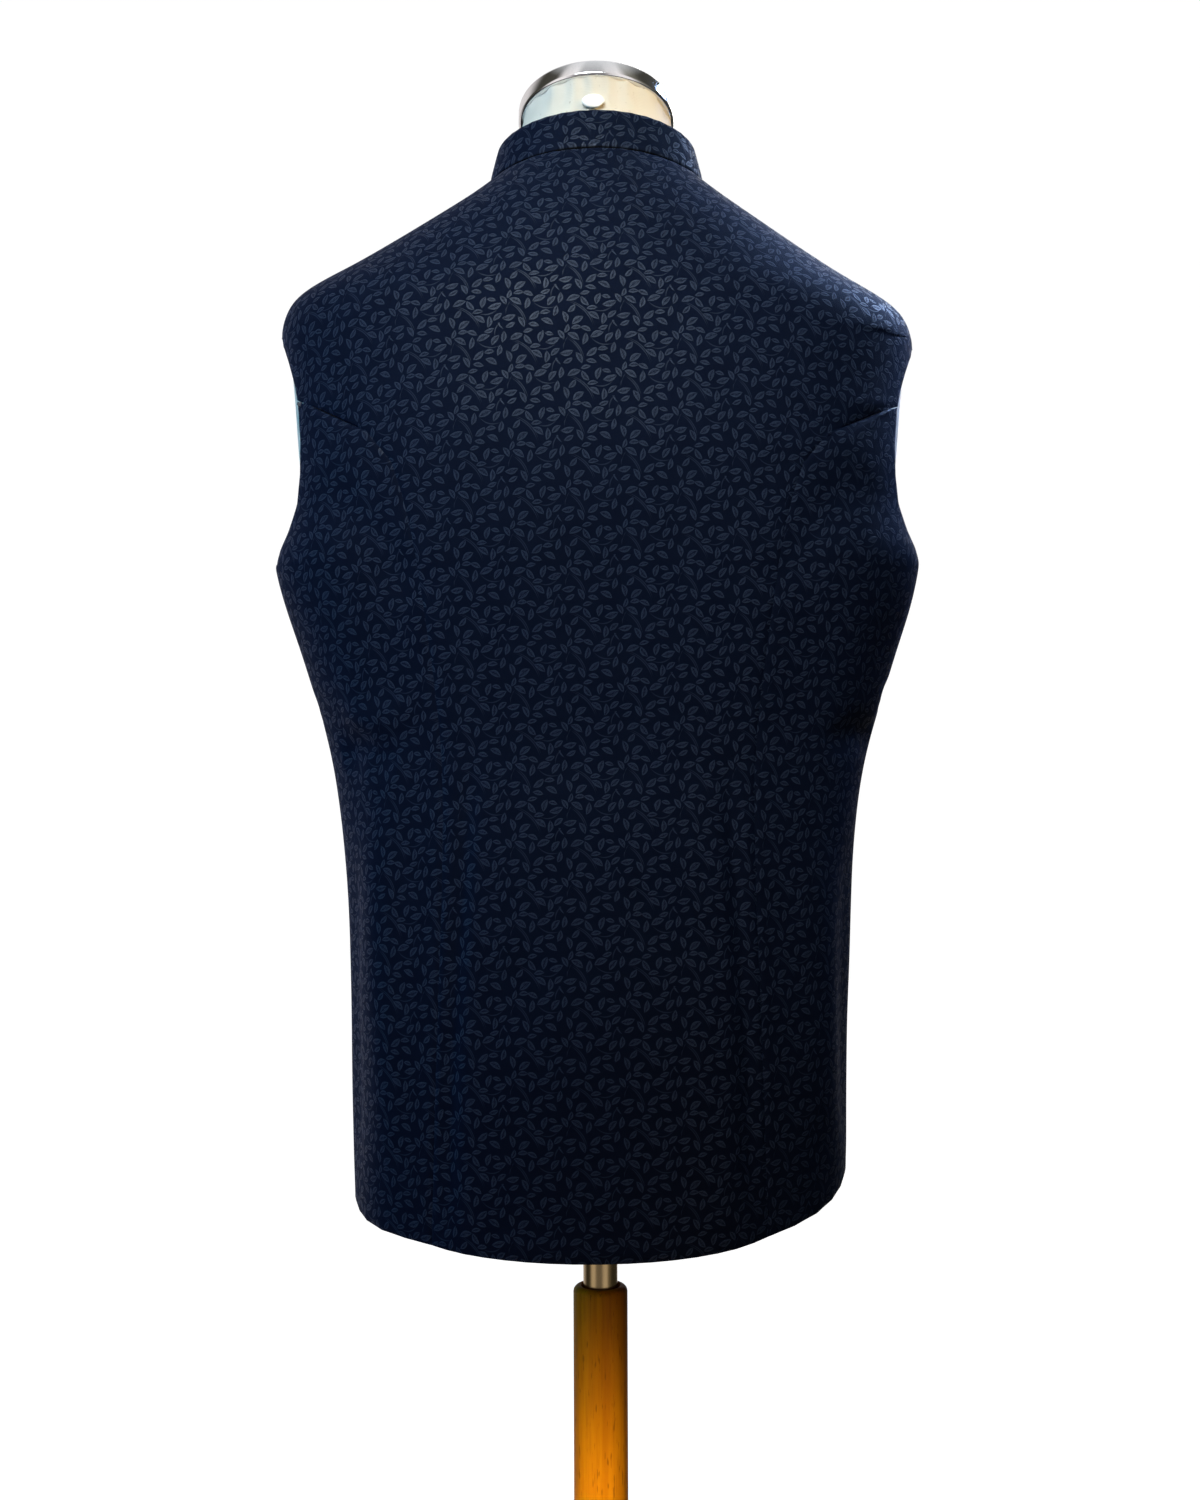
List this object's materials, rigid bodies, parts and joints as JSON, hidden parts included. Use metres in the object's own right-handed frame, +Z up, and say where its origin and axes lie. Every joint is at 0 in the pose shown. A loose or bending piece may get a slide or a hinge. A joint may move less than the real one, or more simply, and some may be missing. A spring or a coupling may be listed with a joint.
{
  "type": "nehru jacket on a dress form",
  "caption": "Sleeveless stand-collar jacket in navy leaf-figured cloth, buttoned down the front, worn on a limbless dress form that slides and turns on a wooden post.",
  "frame": {"origin": "centre of the base's underside, on the floor, on the post's axis", "axes": "+Z up along the post; the jacket's front faces -Y and its back +Y; the wearer's left is +X"},
  "size_m": [0.454, 0.39, 1.5328],
  "materials": {
    "figured_navy": "dark navy figured weave with small trailing leaves a little lighter than the ground, faint sheen",
    "navy_button": "dark navy, semi-gloss",
    "cream_cloth": "cream stretch cover, matt",
    "chrome": "polished",
    "white_fixing": "white, satin",
    "steel": "drawn tube, satin",
    "honey_wood": "honey-brown lacquer, semi-gloss"
  },
  "bodies": {
    "stand": {"base": "honey_wood", "post": "honey_wood"},
    "pole": {"tube": "steel"},
    "figure": {"form": "cream_cloth", "neck_cap": "chrome", "nape_stud": "white_fixing", "back": "figured_navy", "side_back_left": "figured_navy", "side_back_right": "figured_navy", "front_left": "figured_navy", "front_right": "figured_navy", "collar": "figured_navy", "button_1": "navy_button", "button_2": "navy_button", "button_3": "navy_button", "button_4": "navy_button", "button_5": "navy_button"}
  },
  "joints": [
    {"name": "height_slide", "type": "slide", "parent": "stand", "child": "pole", "axis": [0, 0, 1], "range_m": [-0.055, 0.2]},
    {"name": "turn", "type": "hinge", "parent": "pole", "child": "figure", "pos_m": [0, 0, 0.752], "axis": [0, 0, 1], "continuous": true}
  ]
}
